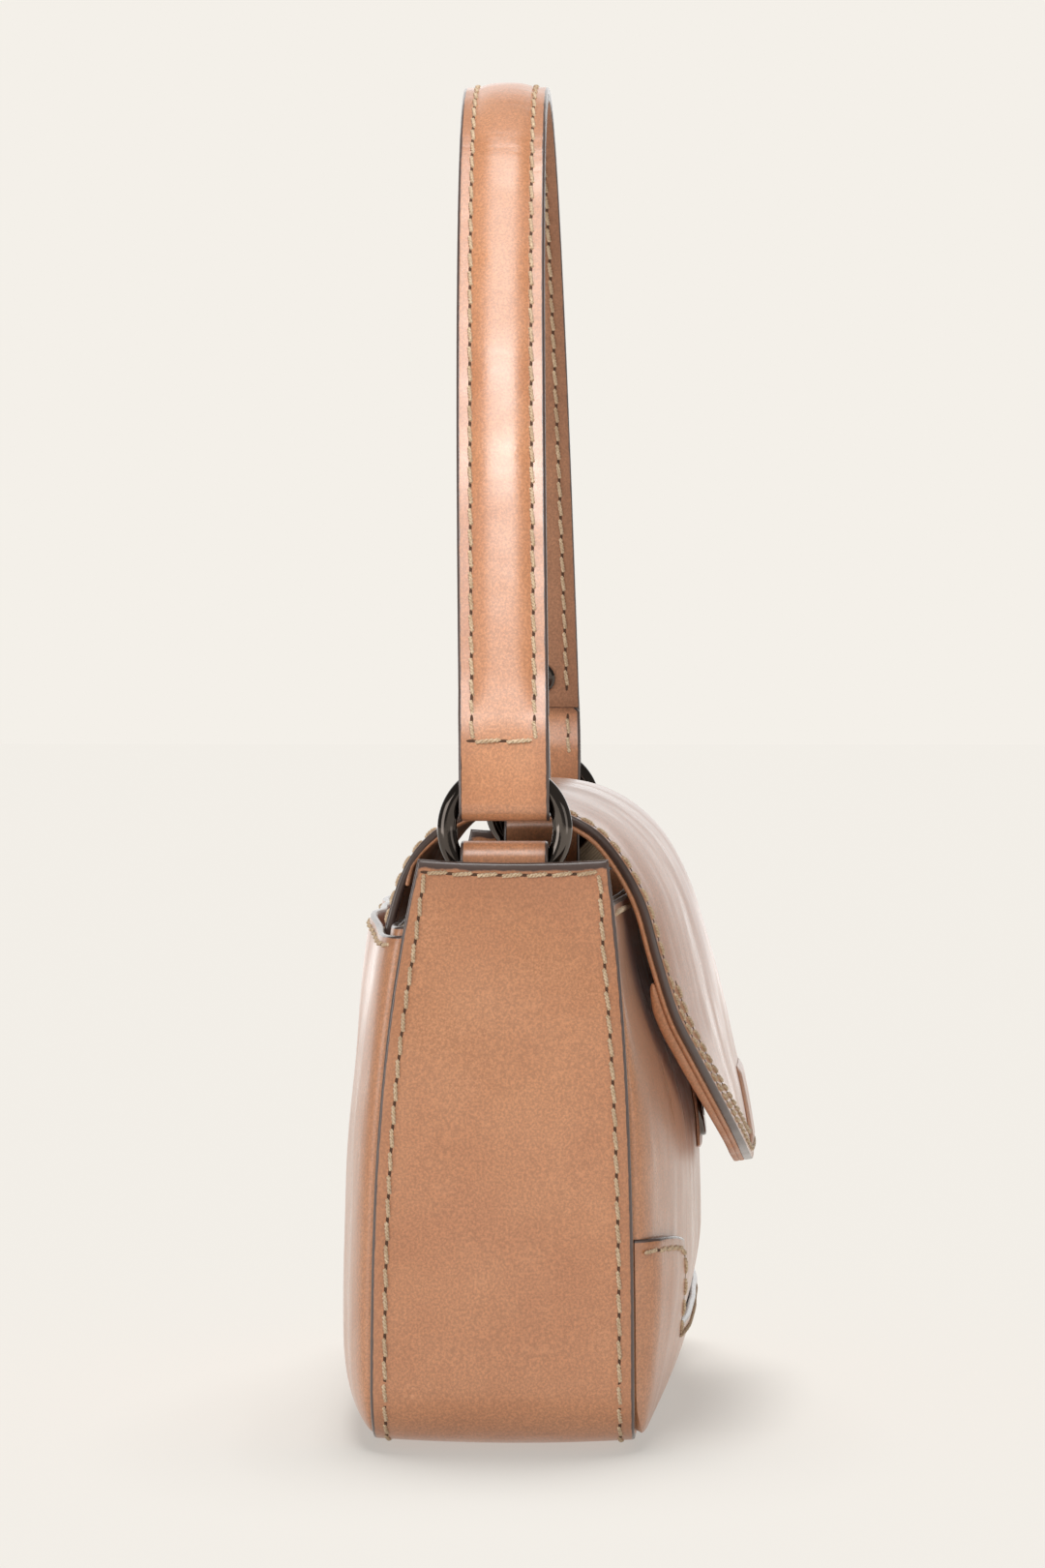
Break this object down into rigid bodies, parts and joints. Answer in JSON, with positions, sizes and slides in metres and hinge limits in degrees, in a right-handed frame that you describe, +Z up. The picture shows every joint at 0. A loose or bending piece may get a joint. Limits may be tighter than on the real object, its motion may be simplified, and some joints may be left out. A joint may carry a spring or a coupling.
{
  "type": "flap bag",
  "caption": "Small leather shoulder bag with a curved front flap, an end-to-end gusset, an open back pocket and a padded handle on rings.",
  "frame": {"origin": "on the ground under the middle of the base, in the middle plane of the end gussets", "axes": "+X along the bag's length, -Y towards the flap's front, +Z up"},
  "size_m": [0.26, 0.1235, 0.388],
  "materials": {
    "tan_leather": "waxed pull-up leather with dark painted edges",
    "lining_leather": "matt",
    "lining_cloth": "plain weave",
    "board": "bonded leather board",
    "foam": "felted filler",
    "gunmetal": "dark polished plating"
  },
  "bodies": {
    "bag": {"gusset_band": "tan_leather", "front_panel": "tan_leather", "front_overlay": "tan_leather", "back_panel": "tan_leather", "back_pocket": "tan_leather", "lining_gusset": "lining_cloth", "lining_front": "lining_cloth", "lining_back": "lining_cloth", "slip_pocket": "lining_cloth", "mouth_facing_front": "lining_leather", "mouth_facing_back": "lining_leather", "base_board": "board", "snap_socket": "gunmetal", "ring_tab_left": "tan_leather", "ring_tab_right": "tan_leather"},
    "flap": {"flap_outer": "tan_leather", "flap_stiffener": "board", "flap_lining": "lining_leather", "flap_facing": "lining_leather", "closure_tab": "tan_leather", "snap_stud": "gunmetal"},
    "ring_left": {"ring_left": "gunmetal"},
    "ring_right": {"ring_right": "gunmetal"},
    "handle": {"handle_outer": "tan_leather", "handle_filler": "foam", "handle_lining": "lining_leather", "handle_rivet_left": "gunmetal", "handle_rivet_right": "gunmetal"}
  },
  "joints": [
    {"name": "flap_open", "type": "hinge", "parent": "bag", "child": "flap", "pos_m": [0, 0.03074, 0.148], "axis": [-1, 0, 0], "range_deg": [-2, 100]},
    {"name": "handle_swing", "type": "hinge", "parent": "bag", "child": "handle", "pos_m": [0, 0, 0.17], "axis": [1, 0, 0], "range_deg": [-20, 20]},
    {"name": "ring_left_turn", "type": "hinge", "parent": "bag", "child": "ring_left", "pos_m": [-0.121, 0, 0.17], "axis": [1, 0, 0], "continuous": true},
    {"name": "ring_right_turn", "type": "hinge", "parent": "bag", "child": "ring_right", "pos_m": [0.121, 0, 0.17], "axis": [1, 0, 0], "continuous": true}
  ]
}
